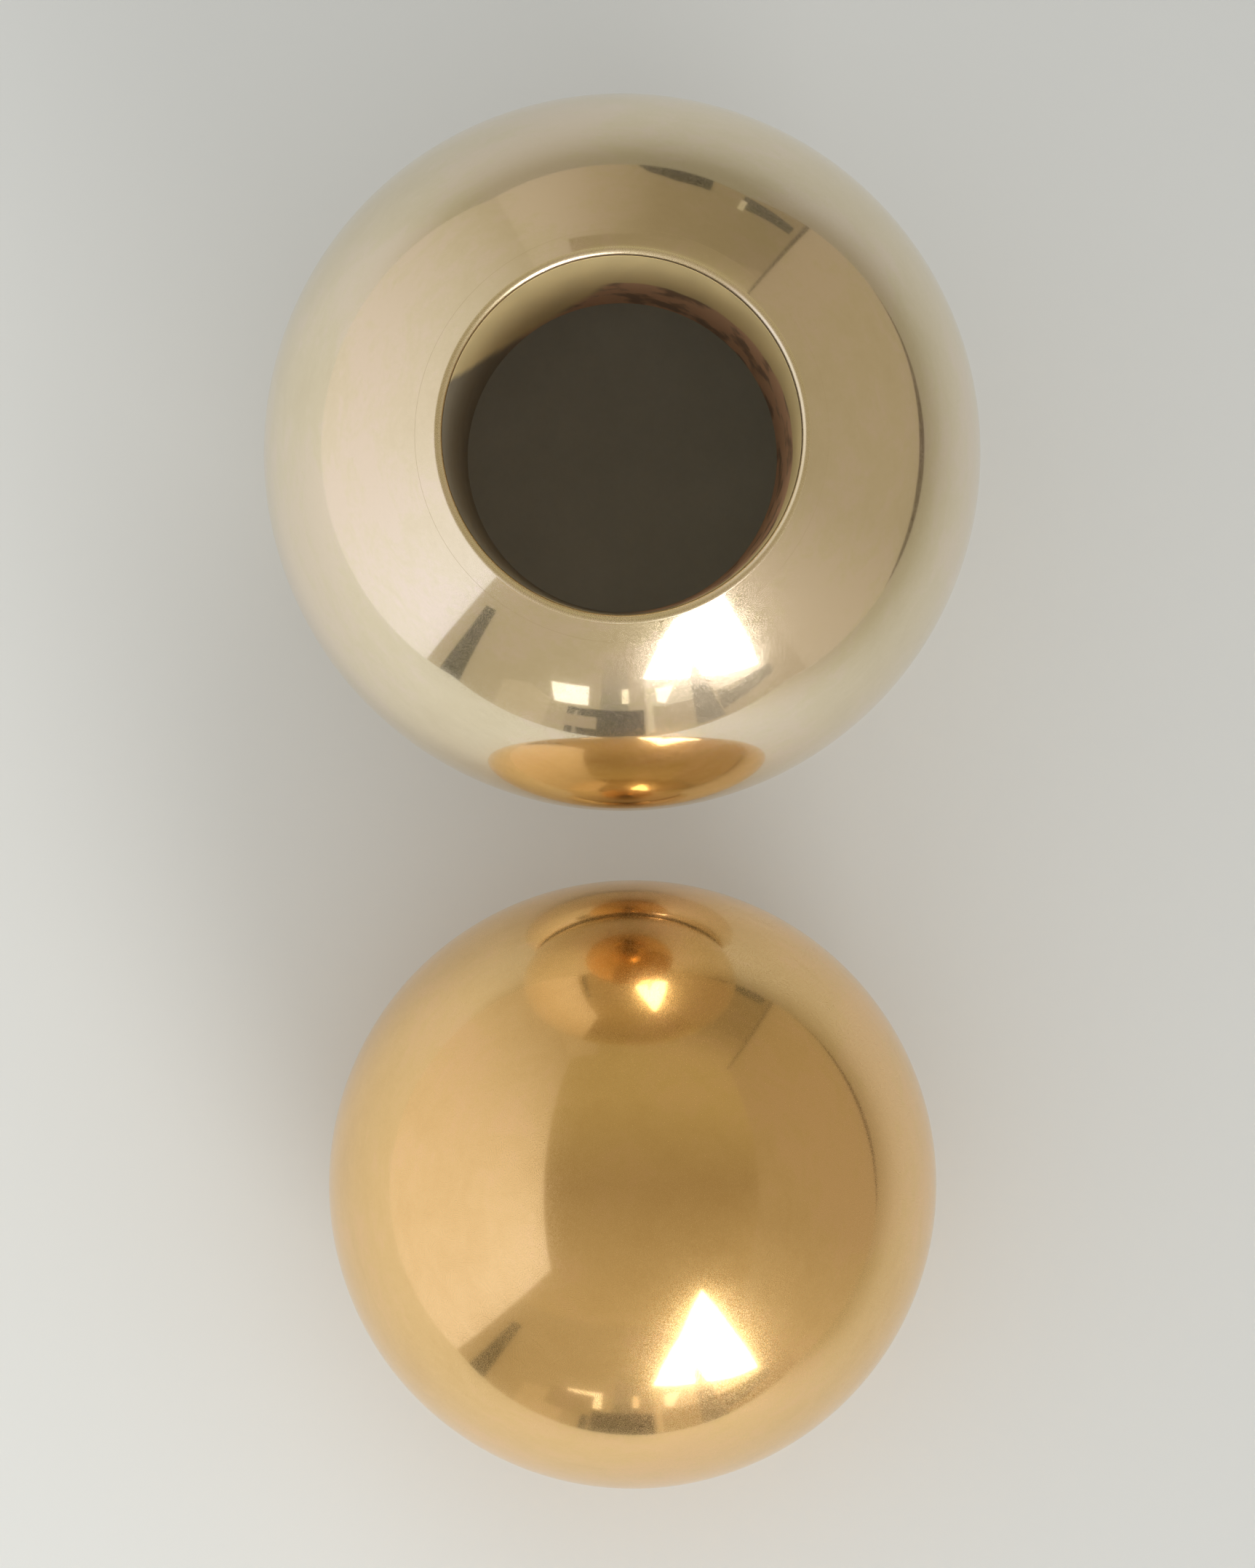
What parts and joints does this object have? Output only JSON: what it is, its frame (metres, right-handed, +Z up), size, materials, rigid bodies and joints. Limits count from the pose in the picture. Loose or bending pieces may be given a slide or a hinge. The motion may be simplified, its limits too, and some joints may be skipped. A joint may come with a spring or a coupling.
{
  "type": "pair of ball-shaped bells",
  "caption": "Pair of polished brass ball-shaped bells: a pale one, mouth up, that lifts off a low round stand, and a golden one set down on its mouth.",
  "frame": {"origin": "middle of the pair's footprint, on the surface that both bells stand on", "axes": "+Z up, along both bells' axes; the pale bell and its stand are towards +Y, the golden bell towards -Y"},
  "size_m": [0.068, 0.135, 0.0786],
  "materials": {
    "pale_brass": "mirror polished, pale champagne brass, lacquered",
    "gold_brass": "mirror polished, warm golden brass, fine wipe marks",
    "pale_inside": "dark brown patina",
    "gold_inside": "dark brown patina",
    "dark_metal": "dark oiled steel",
    "cast_iron": "rough casting",
    "felt": "dense black wool felt"
  },
  "bodies": {
    "stand": {"stand_shell": "pale_brass", "stand_seat_dish": "dark_metal", "stand_seat_ring": "felt", "stand_ballast": "cast_iron", "stand_base_plate": "dark_metal", "stand_pad": "felt", "stand_screw_1": "dark_metal", "stand_screw_2": "dark_metal", "stand_screw_3": "dark_metal"},
    "pale_bell": {"pale_upper_half": "pale_brass", "pale_lower_half": "pale_brass", "pale_joint_ring": "pale_inside", "pale_lip_ring": "pale_brass", "pale_mouth_sleeve": "pale_inside"},
    "gold_bell": {"gold_upper_half": "gold_brass", "gold_lower_half": "gold_brass", "gold_joint_ring": "gold_inside", "gold_lip_ring": "gold_brass", "gold_mouth_sleeve": "gold_inside"}
  },
  "joints": [
    {"name": "pale_bell_lift", "type": "slide", "parent": "stand", "child": "pale_bell", "axis": [0, 0, 1], "range_m": [0, 0.08]},
    {"name": "gold_bell_lift", "type": "slide", "parent": "stand", "child": "gold_bell", "axis": [0, 0, 1], "range_m": [0, 0.12]}
  ]
}
